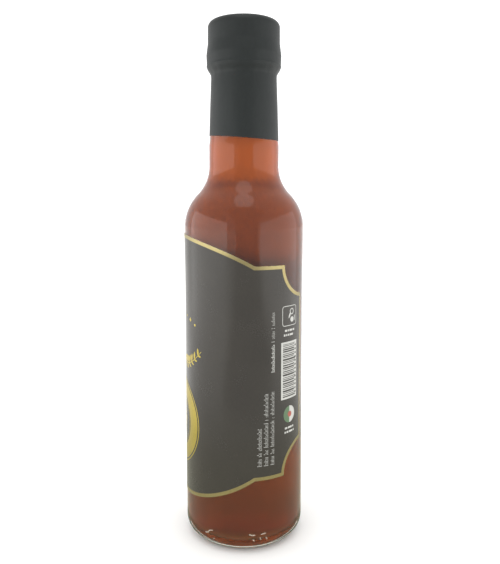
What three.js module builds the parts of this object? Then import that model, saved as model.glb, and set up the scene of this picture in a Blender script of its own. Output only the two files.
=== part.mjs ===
// A 250 ml round bottle of vinegar: clear glass, a shrink capsule over the closure, a die-cut label.
// Millimetres, +Z up. The origin is the centre of the base, and the middle of the label faces -Y.
import * as THREE from 'three';

// All round pieces have the same number of sides, so that their flats lie over each other.
const SIDES = 48;
const ARC_STEPS = 5;

// Outside of the glass
const BASE_RADIUS = 25.9;
const PANEL_RADIUS = 26.0;
const RIDGE_RADIUS = 26.3;
const PANEL_TOP = 105;
const HEEL_RADIUS = 6.8;
const BEARING_WIDTH = 1.6;
const PUNT_DEPTH = 2.4;
const PUNT_SHARES = [0, 0.45, 0.75, 1];
const SWELL_SHARES = [0, 0.35, 0.7, 1];
const SHOULDER_ARC = 20.9;
const NECK_ARC = 17.8;
const NECK_RADIUS = 15.37;
const NECK_BOTTOM = 163.4;
const NECK_TOP = 172.8;
const FINISH_FOOT_RADIUS = 15.12;
const FINISH_RADIUS = 14.2;
const FINISH_FOOT = 173.9;
const FINISH_BOTTOM = 202.7;
const MOUTH_HEIGHT = 224.2;
const MOUTH_EASE = 0.9;

// Inside of the glass
const BORE_RADIUS = 10.5;
const INNER_RADIUS = 23.5;
const INNER_SHOULDER_ARC = 18.4;
const INNER_NECK_ARC = 21.8;
const INNER_NECK_BOTTOM = 162.9;
const INNER_HEEL_RADIUS = 5.6;
const FLOOR_EDGE = 4.2;
const FLOOR_CENTRE = 5.8;

// Vinegar
const VINEGAR_GAP = 0.3;
const VINEGAR_LEVEL = 180;

// Capsule, shrunk over the closure and the upper neck
const CAPSULE_HEIGHT = 226.6;
const HEM_HEIGHT = 175.5;
const HEM_FALL_X = 0.05;
const HEM_FALL_Y = 0.0735;
const HEM_RADIUS = 15.3;
const FILM_MIDDLE_RADIUS = 14.9;
const WAIST_RADIUS = 14.45;
const WAIST_HEIGHT = 202.7;
const BULGE_FOOT_RADIUS = 16.25;
const BULGE_RADIUS = 16.45;
const BULGE_BOTTOM = 206.1;
const BULGE_EASE = 0.5;
const BULGE_TOP = 211.4;
const CAP_RADIUS = 15.83;
const CAP_BOTTOM = 216.4;
const CAP_CORNER = 2.8;
const CAP_CROWN = 0.5;
const FILM_GAP = 0.06;
const CAP_GAP = 0.3;

// Label: an arch above and below, level ends, and a hollow quarter circle cut from each corner
const LABEL_RADIUS = 26.1;
const LABEL_MIDDLE = 76.4;
const LABEL_END = 72.4;
const LABEL_HALF_HEIGHT = 45;
const ARCH_HALF_WIDTH = 45.8;
const ARCH_RISE = 12.4;
const NOTCH_RADIUS = 12.8;
const NOTCH_STEPS = 7;
const LABEL_ROWS = 9;
const LABEL_GAP = 0.1;
const LABEL_THICKNESS = 0.2;

const point = (radius, height) => new THREE.Vector2(radius, height);

// Points along an arc of a profile, without its first point.
function arc(centreRadius, centreHeight, radius, from, to, steps = ARC_STEPS) {
  const points = [];
  for (let i = 1; i <= steps; i++) {
    const angle = from + (to - from) * i / steps;
    points.push(point(centreRadius + radius * Math.cos(angle), centreHeight + radius * Math.sin(angle)));
  }
  return points;
}

// The shoulder between an upright wall and an upright neck: two arcs that meet at one slope.
// It runs from the wall up to the neck, and bottom is the height where it leaves the wall.
function shoulder(wallRadius, neckRadius, neckBottom, wallArc, neckArc) {
  const turn = Math.acos(1 - (wallRadius - neckRadius) / (wallArc + neckArc));
  const bottom = neckBottom - (wallArc + neckArc) * Math.sin(turn);
  const points = [
    ...arc(wallRadius - wallArc, bottom, wallArc, 0, turn),
    ...arc(neckRadius + neckArc, neckBottom, neckArc, Math.PI + turn, Math.PI),
  ];
  return { points, bottom };
}

const outerShoulder = shoulder(RIDGE_RADIUS, NECK_RADIUS, NECK_BOTTOM, SHOULDER_ARC, NECK_ARC);
const innerShoulder = shoulder(
  INNER_RADIUS, BORE_RADIUS, INNER_NECK_BOTTOM, INNER_SHOULDER_ARC, INNER_NECK_ARC);

// Outer radius of the glass from the heel up: nearly straight, then swelling to the shoulder's ridge.
function wallRadius(height) {
  if (height <= PANEL_TOP) {
    return THREE.MathUtils.lerp(BASE_RADIUS, PANEL_RADIUS, THREE.MathUtils.clamp(height / PANEL_TOP, 0, 1));
  }
  const swell = THREE.MathUtils.smoothstep(height, PANEL_TOP, outerShoulder.bottom);
  return THREE.MathUtils.lerp(PANEL_RADIUS, RIDGE_RADIUS, swell);
}

// A closed round solid, turned so that its profile's heights lie along Z and its seam faces -Y.
function turned(profile) {
  return new THREE.LatheGeometry(profile, SIDES).rotateX(Math.PI / 2);
}

function glassGeometry() {
  const bearing = BASE_RADIUS - HEEL_RADIUS;
  const puntEdge = bearing - BEARING_WIDTH;
  const punt = PUNT_SHARES.map((share) => point(puntEdge * share, PUNT_DEPTH * (1 - share ** 2)));
  const swell = SWELL_SHARES.map((share) => {
    const height = THREE.MathUtils.lerp(PANEL_TOP, outerShoulder.bottom, share);
    return point(wallRadius(height), height);
  });
  const innerHeel = INNER_RADIUS - INNER_HEEL_RADIUS;
  return turned([
    ...punt,
    point(bearing, 0),
    ...arc(bearing, HEEL_RADIUS, HEEL_RADIUS, -Math.PI / 2, 0),
    ...swell,
    ...outerShoulder.points,
    point(NECK_RADIUS, NECK_TOP),
    point(FINISH_FOOT_RADIUS, FINISH_FOOT),
    point(FINISH_RADIUS, FINISH_BOTTOM),
    point(FINISH_RADIUS, MOUTH_HEIGHT - MOUTH_EASE),
    point(FINISH_RADIUS - MOUTH_EASE, MOUTH_HEIGHT),
    point(BORE_RADIUS + MOUTH_EASE, MOUTH_HEIGHT),
    point(BORE_RADIUS, MOUTH_HEIGHT - MOUTH_EASE),
    point(BORE_RADIUS, INNER_NECK_BOTTOM),
    ...innerShoulder.points.slice(0, -1).reverse(),
    point(INNER_RADIUS, innerShoulder.bottom),
    point(INNER_RADIUS, FLOOR_EDGE + INNER_HEEL_RADIUS),
    ...arc(innerHeel, FLOOR_EDGE + INNER_HEEL_RADIUS, INNER_HEEL_RADIUS, 0, -Math.PI / 2),
    point(0, FLOOR_CENTRE),
  ]);
}

// The vinegar keeps a small gap to the glass all over, and its level is hidden by the capsule.
function vinegarGeometry() {
  const innerHeel = INNER_RADIUS - INNER_HEEL_RADIUS;
  const heelCurve = INNER_HEEL_RADIUS - VINEGAR_GAP;
  const body = INNER_RADIUS - VINEGAR_GAP;
  const neck = BORE_RADIUS - VINEGAR_GAP;
  const slope = shoulder(
    body, neck, INNER_NECK_BOTTOM, INNER_SHOULDER_ARC - VINEGAR_GAP, INNER_NECK_ARC + VINEGAR_GAP);
  return turned([
    point(0, FLOOR_CENTRE + VINEGAR_GAP),
    point(innerHeel, FLOOR_EDGE + VINEGAR_GAP),
    ...arc(innerHeel, FLOOR_EDGE + INNER_HEEL_RADIUS, heelCurve, -Math.PI / 2, 0),
    point(body, slope.bottom),
    ...slope.points,
    point(neck, VINEGAR_LEVEL),
    point(0, VINEGAR_LEVEL),
  ]);
}

// The film lies on the neck and thickens into the closure's own shape. Its lower edge is cut askew.
function capsuleGeometry() {
  const corner = CAP_RADIUS - CAP_CORNER;
  const boreTop = MOUTH_HEIGHT + CAP_GAP;
  const footShare = (HEM_HEIGHT - FINISH_FOOT) / (FINISH_BOTTOM - FINISH_FOOT);
  const hemInside = THREE.MathUtils.lerp(FINISH_FOOT_RADIUS, FINISH_RADIUS, footShare) + FILM_GAP;
  const geometry = turned([
    point(0, boreTop),
    point(FINISH_RADIUS + CAP_GAP, boreTop),
    point(FINISH_RADIUS + CAP_GAP, BULGE_BOTTOM),
    point(FINISH_RADIUS + FILM_GAP, FINISH_BOTTOM),
    point(hemInside, HEM_HEIGHT),
    point(HEM_RADIUS, HEM_HEIGHT),
    point(FILM_MIDDLE_RADIUS, (HEM_HEIGHT + WAIST_HEIGHT) / 2),
    point(WAIST_RADIUS, WAIST_HEIGHT),
    point(BULGE_FOOT_RADIUS - BULGE_EASE, BULGE_BOTTOM - BULGE_EASE),
    point(BULGE_FOOT_RADIUS, BULGE_BOTTOM + BULGE_EASE),
    point(BULGE_RADIUS, BULGE_TOP),
    point(CAP_RADIUS, CAP_BOTTOM),
    point(CAP_RADIUS, CAPSULE_HEIGHT - CAP_CROWN - CAP_CORNER),
    ...arc(corner, CAPSULE_HEIGHT - CAP_CROWN - CAP_CORNER, CAP_CORNER, 0, Math.PI / 2),
    point(corner / 2, CAPSULE_HEIGHT - CAP_CROWN / 4),
    point(0, CAPSULE_HEIGHT),
  ]);
  const position = geometry.attributes.position;
  for (let i = 0; i < position.count; i++) {
    const onHem = Math.abs(position.getZ(i) - HEM_HEIGHT) < 0.01;
    if (onHem) {
      const fall = HEM_FALL_X * position.getX(i) + HEM_FALL_Y * position.getY(i);
      position.setZ(i, HEM_HEIGHT - fall);
    }
  }
  return geometry;
}

// Half height of the label at a distance along it from its middle.
function labelHalfHeight(distance) {
  const along = Math.abs(distance);
  if (along <= ARCH_HALF_WIDTH) {
    const archRadius = (ARCH_HALF_WIDTH ** 2 + ARCH_RISE ** 2) / (2 * ARCH_RISE);
    return LABEL_HALF_HEIGHT + ARCH_RISE - archRadius + Math.sqrt(archRadius ** 2 - along ** 2);
  }
  if (along <= LABEL_END - NOTCH_RADIUS) {
    return LABEL_HALF_HEIGHT;
  }
  return LABEL_HALF_HEIGHT - Math.sqrt(Math.max(0, NOTCH_RADIUS ** 2 - (LABEL_END - along) ** 2));
}

// Distances along the label where it has a column of points: on the glass's edges, at the corners
// of its outline and close together in the notches.
function labelStations() {
  const side = 2 * Math.PI * LABEL_RADIUS / SIDES;
  const notchStart = LABEL_END - NOTCH_RADIUS;
  const half = [ARCH_HALF_WIDTH];
  for (let distance = side; distance < notchStart - side / 6; distance += side) {
    half.push(distance);
  }
  for (let i = 0; i <= NOTCH_STEPS; i++) {
    half.push(LABEL_END - NOTCH_RADIUS * Math.cos(Math.PI / 2 * i / NOTCH_STEPS));
  }
  half.sort((a, b) => a - b);
  return [...half.map((distance) => -distance).reverse(), 0, ...half];
}

// A flat sheet, trimmed to the outline, then wrapped round the glass. Above the shoulder's ridge it
// stands straight up, clear of the glass that curves away behind it.
function labelGeometry() {
  const stations = labelStations();
  const columns = stations.length - 1;
  const geometry = new THREE.BoxGeometry(1, 1, 1, columns, 1, LABEL_ROWS);
  const position = geometry.attributes.position;
  for (let i = 0; i < position.count; i++) {
    const along = stations[Math.round((position.getX(i) + 0.5) * columns)];
    const height = LABEL_MIDDLE + 2 * position.getZ(i) * labelHalfHeight(along);
    const outward = position.getY(i) < 0 ? LABEL_THICKNESS : 0;
    const radius = wallRadius(height) + LABEL_GAP + outward;
    const angle = along / LABEL_RADIUS;
    position.setXYZ(i, radius * Math.sin(angle), -radius * Math.cos(angle), height);
  }
  return geometry;
}

function piece(name, geometry, finish) {
  const mesh = new THREE.Mesh(geometry, new THREE.MeshStandardMaterial(finish));
  mesh.name = name;
  return mesh;
}

const bottle = new THREE.Group();
bottle.add(
  piece('glass_bottle', glassGeometry(), {
    color: 0xe3e8d8, roughness: 0.04, metalness: 0, transparent: true, opacity: 0.35,
  }),
  piece('vinegar', vinegarGeometry(), { color: 0x8a3f25, roughness: 0.05, metalness: 0 }),
  piece('capsule', capsuleGeometry(), { color: 0x3c3f3e, roughness: 0.5, metalness: 0 }),
  piece('label', labelGeometry(), { color: 0x2e2c2b, roughness: 0.45, metalness: 0 }),
);

export default bottle;
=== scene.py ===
"""A round 250 ml bottle of vinegar with a shrink capsule and a black and gold label."""

import math
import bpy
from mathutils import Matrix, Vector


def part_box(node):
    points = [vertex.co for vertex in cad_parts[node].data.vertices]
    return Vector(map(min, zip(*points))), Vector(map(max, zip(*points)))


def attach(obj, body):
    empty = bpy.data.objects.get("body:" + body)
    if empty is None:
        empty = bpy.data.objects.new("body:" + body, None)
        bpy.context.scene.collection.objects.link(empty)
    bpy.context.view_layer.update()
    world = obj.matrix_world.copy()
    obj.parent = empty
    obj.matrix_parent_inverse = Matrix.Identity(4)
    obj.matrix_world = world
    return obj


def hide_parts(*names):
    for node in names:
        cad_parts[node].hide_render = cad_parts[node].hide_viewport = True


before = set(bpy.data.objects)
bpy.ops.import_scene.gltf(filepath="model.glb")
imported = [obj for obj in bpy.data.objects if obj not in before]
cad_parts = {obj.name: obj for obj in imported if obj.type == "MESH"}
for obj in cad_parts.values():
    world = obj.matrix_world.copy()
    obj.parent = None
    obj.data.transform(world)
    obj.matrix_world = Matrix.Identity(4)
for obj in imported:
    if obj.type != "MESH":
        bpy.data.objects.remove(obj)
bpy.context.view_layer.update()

from types import SimpleNamespace

import bpy
from mathutils import Vector, noise

bl_info = {
    "name": "Vinegar Bottle",
    "version": (1, 0, 0),
    "blender": (4, 5, 0),
    "location": "View3D > Sidebar > Vinegar Bottle",
    "description": "Builds the glass, vinegar, capsule, label and studio around the packed part",
    "category": "Object",
}

MM = 0.001
STANDING_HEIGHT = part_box("glass_bottle")[0].z
TINY = 1e-6

# How finely the pieces are cut
BOTTLE_SIDES = 180
CAPSULE_SIDES = 240
FLOOR_SIDES = 96
CARD_SIDES = 48
CORNER_STEPS = 14
SHOULDER_STEPS = 22
WALL_STEPS = 60
PUNT_STEPS = 10
GLASS_STEP = 2.2 * MM
CAPSULE_BORE_STEP = 2 * MM
CAPSULE_STEP = 0.7 * MM
ARCH_COLUMNS = 40
LEVEL_COLUMNS = 10
NOTCH_COLUMNS = 18
LABEL_ROWS = 36

# Lower and upper face of a printed layer, in millimetres above the label's face
FOIL_LAYER = (-0.01, 0.03)
INK_LAYER = (-0.01, 0.015)
OVERPRINT_LAYER = (0.005, 0.025)


def length(name, description, millimetres):
    """A length that a user can change, given in millimetres and kept in metres."""
    return bpy.props.FloatProperty(
        name=name, description=description, default=millimetres * MM, precision=5,
        subtype="DISTANCE", unit="LENGTH")


def number(name, description, default, low=0.0, high=1.0):
    """A plain value that a user can change."""
    return bpy.props.FloatProperty(
        name=name, description=description, default=default, min=low, max=high, precision=3)


def colour(name, description, red, green, blue):
    """A linear colour that a user can change."""
    return bpy.props.FloatVectorProperty(
        name=name, description=description, default=(red, green, blue, 1.0), size=4,
        subtype="COLOR", min=0.0, max=1.0)


class BottleGlass(bpy.types.PropertyGroup):
    """Sizes and finish of the glass."""
    base_radius: length("Base radius", "Outer radius just above the heel", 25.9)
    panel_radius: length("Panel radius", "Outer radius behind the label", 26.0)
    ridge_radius: length("Ridge radius", "Outer radius below the shoulder", 26.3)
    panel_top: length("Panel top", "Height where the wall starts to swell", 105)
    heel_radius: length("Heel radius", "Rounding between wall and base", 6.8)
    bearing_width: length("Bearing width", "Width of the ring that the bottle stands on", 1.6)
    punt_depth: length("Punt depth", "Rise of the hollow under the base", 2.4)
    shoulder_arc: length("Shoulder arc", "Radius of the shoulder's outward curve", 20.9)
    neck_arc: length("Neck arc", "Radius of the curve into the neck", 17.8)
    neck_radius: length("Neck radius", "Outer radius of the neck", 15.37)
    neck_bottom: length("Neck bottom", "Height where the neck turns upright", 163.4)
    neck_top: length("Neck top", "Height where the neck narrows under the capsule", 172.8)
    finish_foot_radius: length("Finish foot radius", "Outer radius at the capsule's hem", 15.12)
    finish_foot: length("Finish foot", "Height of the foot of the finish", 173.9)
    finish_radius: length("Finish radius", "Outer radius of the mouth", 14.2)
    finish_bottom: length("Finish bottom", "Height where the mouth's band starts", 202.7)
    mouth_height: length("Mouth height", "Height of the rim", 224.2)
    mouth_ease: length("Mouth ease", "Bevel of the rim", 0.9)
    bore_radius: length("Bore radius", "Inner radius of the neck", 10.5)
    inner_radius: length("Inner radius", "Inner radius of the body", 23.5)
    inner_shoulder_arc: length("Inner shoulder arc", "Inner radius of the shoulder's curve", 18.4)
    inner_neck_arc: length("Inner neck arc", "Inner radius of the neck's curve", 21.8)
    inner_neck_bottom: length("Inner neck bottom", "Height where the bore starts", 162.9)
    inner_heel: length("Inner heel", "Inner rounding above the base", 5.6)
    floor_edge: length("Floor edge", "Thickness of the base at its edge", 4.2)
    floor_centre: length("Floor centre", "Height of the inner floor's middle", 5.8)
    outer_wave: length("Outer wave", "Unevenness of the outer face", 0.035)
    inner_wave: length("Inner wave", "Unevenness of the inner face", 0.22)
    refraction: number("Refraction", "Index of refraction of the glass", 1.5, 1.0, 2.0)
    tint: colour("Tint", "Colour of the outer face", 0.72, 0.74, 0.67)
    wetted_tint: colour("Wetted tint", "Colour of the inner face", 0.9, 0.92, 0.86)
    # The raised strokes' two colours are a painted highlight: the light that the strokes catch
    painted_glint_dim: colour("Painted glint dim", "Darker colour of the raised strokes", 0.42, 0.34, 0.26)
    painted_glint_bright: colour("Painted glint bright", "Paler colour of the raised strokes", 0.8, 0.7, 0.56)


class VinegarFilling(bpy.types.PropertyGroup):
    """Level and colour of the vinegar."""
    level: length("Level", "Height of the vinegar's top, under the capsule", 180)
    meniscus: length("Meniscus", "Rise of the surface at the glass", 0.4)
    overlap: length("Overlap", "Reach of the vinegar into the glass wall", 0.15)
    refraction: number("Refraction", "Index of refraction of the vinegar", 1.345, 1.0, 2.0)
    tint: colour("Tint", "Colour that the vinegar lets through", 0.853, 0.83, 0.08)
    depth: number("Depth", "Strength of the colour per metre", 262.0, 0.0, 1000.0)
    haze: colour("Haze", "Colour of the light that the cloudy vinegar throws back", 1.0, 0.205, 0.065)
    clarity: number("Clarity", "Share of the light that passes into the vinegar", 0.9)
    cloud: number("Cloud", "How far the cloudy vinegar spreads the light", 0.42)


class ShrinkCapsule(bpy.types.PropertyGroup):
    """Sizes and finish of the shrink capsule."""
    top: length("Top", "Height of the crown", 226.6)
    hem_height: length("Hem height", "Height of the lower edge", 175.5)
    hem_fall_x: number("Hem fall X", "Slope of the hem towards +X", 0.05)
    hem_fall_y: number("Hem fall Y", "Slope of the hem towards +Y", 0.0735)
    hem_wave: length("Hem wave", "Unevenness of the cut edge", 0.12)
    hem_ease: length("Hem ease", "Rounding of the cut edge", 0.06)
    hem_radius: length("Hem radius", "Outer radius of the lower edge", 15.3)
    middle_radius: length("Middle radius", "Outer radius halfway to the waist", 14.9)
    waist_radius: length("Waist radius", "Outer radius under the closure", 14.45)
    waist_height: length("Waist height", "Height of the waist", 202.7)
    bulge_foot: length("Bulge foot", "Outer radius at the foot of the closure's band", 16.25)
    bulge_radius: length("Bulge radius", "Outer radius round the closure's band", 16.45)
    bulge_bottom: length("Bulge bottom", "Height where the band starts", 206.1)
    bulge_top: length("Bulge top", "Height where the band ends", 211.4)
    cap_radius: length("Cap radius", "Outer radius of the closure", 15.83)
    cap_bottom: length("Cap bottom", "Height where the closure's side starts", 216.4)
    cap_corner: length("Cap corner", "Rounding of the top edge", 2.8)
    cap_crown: length("Cap crown", "Rise of the top towards its middle", 0.5)
    film_gap: length("Film gap", "Gap between film and glass", 0.06)
    cap_gap: length("Cap gap", "Gap between closure and mouth", 0.3)
    pleat: length("Pleat", "Height of the shrink pleats under the closure", 0.09)
    film: colour("Film", "Colour of the matt film", 0.0088, 0.0118, 0.0114)
    roughness: number("Roughness", "Roughness of the film", 0.42)


class BlackLabel(bpy.types.PropertyGroup):
    """Sizes and finish of the label and what is printed on it."""
    radius: length("Radius", "Radius that distances along the label are taken at", 26.1)
    middle: length("Middle", "Height of the label's middle", 76.4)
    end: length("End", "Distance along the glass from the middle to an end", 72.4)
    half_height: length("Half height", "Half of the height at the ends", 45)
    arch_half_width: length("Arch half width", "Half of the arch's width", 45.8)
    arch_rise: length("Arch rise", "Rise of the arch", 12.4)
    notch: length("Notch", "Radius cut from each corner", 12.8)
    inner: length("Inner face", "Reach of the glued face into the glass", 0.05)
    outer: length("Outer face", "Height of the printed face above the glass", 0.12)
    lift: length("Lift", "How far the upper edge stands off at its middle", 0.16)
    lift_reach: length("Lift reach", "How far the lift spreads along the edge", 16)
    border: length("Border", "Width of the gold border", 1.5)
    border_end: length("Border end", "Width of the gold border at the ends", 1.0)
    black: colour("Black", "Colour of the printed face", 0.027, 0.0235, 0.018)
    paper: colour("Paper", "Colour of the cut edge and the back", 0.62, 0.6, 0.5)
    gold: colour("Gold", "Colour of the gold border", 0.37, 0.31, 0.15)
    emblem: colour("Emblem", "Colour of the gold medallion and sprigs", 0.47, 0.375, 0.085)
    white: colour("White", "Colour of the pale print", 0.46, 0.46, 0.43)
    green: colour("Green", "Colour of the badge's darker half", 0.085, 0.15, 0.075)
    red: colour("Red", "Colour of the badge's dot", 0.33, 0.075, 0.05)


class BottleStudio(bpy.types.PropertyGroup):
    """Camera, light, floor and cards."""
    lens: number("Lens", "Focal length in millimetres", 40.34, 1.0, 200.0)
    shift: number("Shift", "Vertical shift of the lens", -0.08, -1.0, 1.0)
    distance: length("Distance", "From the bottle's axis to the camera", 282)
    aside: length("Aside", "Camera's distance to the right of the axis", 2.68)
    height: length("Height", "Height of the camera", 150)
    pitch: bpy.props.FloatProperty(
        name="Pitch", description="Downward tilt of the camera", default=math.radians(3.67),
        subtype="ANGLE", unit="ROTATION")
    floor_radius: length("Floor radius", "Radius of the floor", 4000)
    floor: colour("Floor", "Colour of the floor", 0.86, 0.855, 0.84)
    light: number("Light", "Strength of the surrounding light", 1.4, 0.0, 10.0)
    light_above: number("Light above", "Strength of the light from above", 1.5, 0.0, 10.0)
    gloss_level: number("Gloss level", "Strength of the light at eye level in reflections", 1.0, 0.0, 10.0)
    gloss_above: number("Gloss above", "Strength of the light from above in reflections", 0.95, 0.0, 10.0)
    softbox_left: number("Softbox left", "Brightness of the softbox on the left", 1.0, 0.0, 10.0)
    softbox_right: number("Softbox right", "Brightness of the softbox on the right", 0.65, 0.0, 10.0)
    softbox_width: length("Softbox width", "Width of a softbox at the side", 1100)
    softbox_height: length("Softbox height", "Height of a softbox at the side", 330)
    softbox_away: length("Softbox away", "Distance of a softbox from the bottle", 500)
    softbox_ahead: length("Softbox ahead", "How far a softbox is moved towards the camera", 280)
    overhead: number("Overhead", "Brightness of the softbox overhead", 0.7, 0.0, 10.0)
    overhead_width: length("Overhead width", "Width of the softbox overhead", 220)
    overhead_depth: length("Overhead depth", "Depth of the softbox overhead", 160)
    overhead_height: length("Overhead height", "Height of the softbox overhead", 400)
    overhead_ahead: length("Overhead ahead", "How far the softbox overhead is moved towards the camera", 140)
    card: number("Card", "Brightness of the dark card that the glass reflects", 0.78, 0.0, 2.0)
    card_ahead: length("Card ahead", "Distance of the dark card from the bottle", 126)
    # The next colour is painted shade with a warm painted glow: the floor near the bottle as the glass
    # reflects it
    painted_floor_shade: colour("Painted floor shade", "Light of the floor near the bottle, in reflections", 0.52, 0.52, 0.42)
    far_floor: colour("Far floor", "Light of the floor card's outer edge", 0.8, 0.8, 0.79)
    floor_near: length("Floor near", "Radius where the floor card starts to fade", 80)
    floor_reach: length("Floor reach", "Radius where the floor card has faded", 230)
    floor_gap: length("Floor gap", "Inner radius of the floor card", 26)
    # The next colour is painted shade: the dark floor under the bottle, as seen through its base
    painted_base_shade: colour("Painted base shade", "Light of the floor under the bottle, through it", 0.18, 0.25, 0.19)
    base_reach: length("Base reach", "Outer radius of the base card", 36)
    base_gap: length("Base gap", "Inner radius of the base card", 1)


# Profiles, as lists of (radius, height) from the axis outwards

def arc(centre_radius, centre_height, radius, start, end, steps):
    """Points along an arc of a profile, without its first point."""
    angles = [start + (end - start) * i / steps for i in range(1, steps + 1)]
    return [(centre_radius + radius * math.cos(a), centre_height + radius * math.sin(a)) for a in angles]


def shoulder(wall, neck, neck_bottom, wall_arc, neck_arc):
    """Two arcs between an upright wall and an upright neck, and the height where they start."""
    turn = math.acos(1 - (wall - neck) / (wall_arc + neck_arc))
    bottom = neck_bottom - (wall_arc + neck_arc) * math.sin(turn)
    points = arc(wall - wall_arc, bottom, wall_arc, 0, turn, SHOULDER_STEPS)
    points += arc(neck + neck_arc, neck_bottom, neck_arc, math.pi + turn, math.pi, SHOULDER_STEPS)
    return points, bottom


def spaced(profile, step):
    """The same profile with more points on its long straight runs."""
    points = [profile[0]]
    for (r0, h0), (r1, h1) in zip(profile, profile[1:]):
        count = max(1, math.ceil(math.hypot(r1 - r0, h1 - h0) / step))
        points += [(r0 + (r1 - r0) * i / count, h0 + (h1 - h0) * i / count) for i in range(1, count + 1)]
    return points


def blend(low, high, share):
    """The value at a share of the way from low to high."""
    return low + (high - low) * share


def smooth(value, low, high):
    """A smooth step from 0 at low to 1 at high."""
    share = min(1.0, max(0.0, (value - low) / (high - low)))
    return share * share * (3 - 2 * share)


def outer_shoulder(glass):
    """The shoulder's outer face, and the height where it leaves the wall."""
    return shoulder(
        glass.ridge_radius, glass.neck_radius, glass.neck_bottom, glass.shoulder_arc, glass.neck_arc)


def shoulder_foot(glass):
    """Height where the outer shoulder leaves the wall."""
    arcs = glass.shoulder_arc + glass.neck_arc
    rise = 1 - (glass.ridge_radius - glass.neck_radius) / arcs
    return glass.neck_bottom - arcs * math.sqrt(1 - rise * rise)


def wall_radius(glass, height):
    """Outer radius of the glass from the heel up to the shoulder."""
    if height <= glass.panel_top:
        return blend(glass.base_radius, glass.panel_radius, max(0.0, height / glass.panel_top))
    swell = smooth(height, glass.panel_top, shoulder_foot(glass))
    return blend(glass.panel_radius, glass.ridge_radius, swell)


def outside_profile(glass):
    """From the middle of the punt to the rim's outer edge."""
    bearing = glass.base_radius - glass.heel_radius
    punt_edge = bearing - glass.bearing_width
    shares = [i / PUNT_STEPS for i in range(PUNT_STEPS + 1)]
    punt = [(punt_edge * share, glass.punt_depth * (1 - share ** 2)) for share in shares]
    heel = arc(bearing, glass.heel_radius, glass.heel_radius, -math.pi / 2, 0, CORNER_STEPS)
    curve, bottom = outer_shoulder(glass)
    rise = [blend(glass.heel_radius, bottom, i / WALL_STEPS) for i in range(WALL_STEPS + 1)]
    return [
        *punt,
        (bearing, 0),
        *heel[:-1],
        *[(wall_radius(glass, height), height) for height in rise],
        *curve,
        (glass.neck_radius, glass.neck_top),
        (glass.finish_foot_radius, glass.finish_foot),
        (glass.finish_radius, glass.finish_bottom),
        (glass.finish_radius, glass.mouth_height - glass.mouth_ease),
        (glass.finish_radius - glass.mouth_ease, glass.mouth_height),
    ]


def inside_profile(glass, reach=0.0, top=None):
    """From the middle of the inner floor up the inner wall, moved outwards by reach."""
    heel_centre = glass.inner_radius - glass.inner_heel
    floor_halfway = blend(glass.floor_centre, glass.floor_edge, 0.55)
    curve, bottom = shoulder(
        glass.inner_radius + reach, glass.bore_radius + reach, glass.inner_neck_bottom,
        glass.inner_shoulder_arc + reach, glass.inner_neck_arc - reach)
    return [
        (0, glass.floor_centre - reach),
        (heel_centre / 2, floor_halfway - reach),
        (heel_centre, glass.floor_edge - reach),
        *arc(heel_centre, glass.floor_edge + glass.inner_heel, glass.inner_heel + reach,
             -math.pi / 2, 0, CORNER_STEPS),
        (glass.inner_radius + reach, bottom),
        *curve,
        (glass.bore_radius + reach, top or glass.mouth_height - glass.mouth_ease),
    ]


# Meshes

def turned(profile, sides, shape):
    """Points and faces of a round closed solid whose profile starts and ends on the axis.
    shape(angle, radius, height, index) moves a point of the profile. The third list says which
    stretch of the profile each face belongs to."""
    points, faces, stretches, rings = [], [], [], []
    for index, (radius, height) in enumerate(profile):
        off_axis = radius > TINY
        ring = []
        for side in range(sides if off_axis else 1):
            angle = 2 * math.pi * side / sides
            r, h = shape(angle, radius, height, index) if off_axis else (0.0, height)
            ring.append(len(points))
            points.append((r * math.sin(angle), -r * math.cos(angle), h))
        rings.append(ring)
    for index, (low, high) in enumerate(zip(rings, rings[1:])):
        for side in range(sides):
            following = (side + 1) % sides
            corners = [
                low[side % len(low)], low[following % len(low)],
                high[following % len(high)], high[side % len(high)]]
            faces.append(list(dict.fromkeys(corners)))
            stretches.append(index)
    return points, faces, stretches


def make_piece(name, points, faces, materials, replaces=None, indices=None, sharp=40):
    """A piece of the bottle that rides on the part and takes the given materials."""
    mesh = bpy.data.meshes.new(name)
    mesh.from_pydata(points, [], faces)
    for material in materials:
        mesh.materials.append(material)
    if indices:
        mesh.polygons.foreach_set("material_index", indices)
    mesh.polygons.foreach_set("use_smooth", [True] * len(mesh.polygons))
    mesh.update()
    mesh.set_sharp_from_angle(angle=math.radians(sharp))
    piece = bpy.data.objects.new(name, mesh)
    bpy.context.scene.collection.objects.link(piece)
    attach(piece, "root")
    if replaces:
        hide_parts(replaces)
    return piece


def wave(angle, height, size, seed):
    """Slow unevenness round the bottle, between about -1 and 1, with waves of a given size."""
    reach = 26 * MM / size
    return noise.noise(Vector((math.sin(angle) * reach, math.cos(angle) * reach, height / size + seed)))


def round_noise(angle, height, around, along):
    """Unevenness of a round surface, with so many waves round it and so many in a metre of height."""
    return noise.noise(Vector((math.sin(angle) * around, math.cos(angle) * around, height * along)))


# Materials

def new_material(name):
    """A material with a Principled shader, and its node tree and shader."""
    material = bpy.data.materials.new(name)
    material.use_nodes = True
    tree = material.node_tree
    tree.nodes.clear()
    output = tree.nodes.new("ShaderNodeOutputMaterial")
    shader = tree.nodes.new("ShaderNodeBsdfPrincipled")
    tree.links.new(shader.outputs["BSDF"], output.inputs["Surface"])
    return material, tree, shader, output


def set_sockets(node, **values):
    """Sets sockets by their names, with underscores for spaces."""
    for name, value in values.items():
        node.inputs[name.replace("_", " ")].default_value = value


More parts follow.
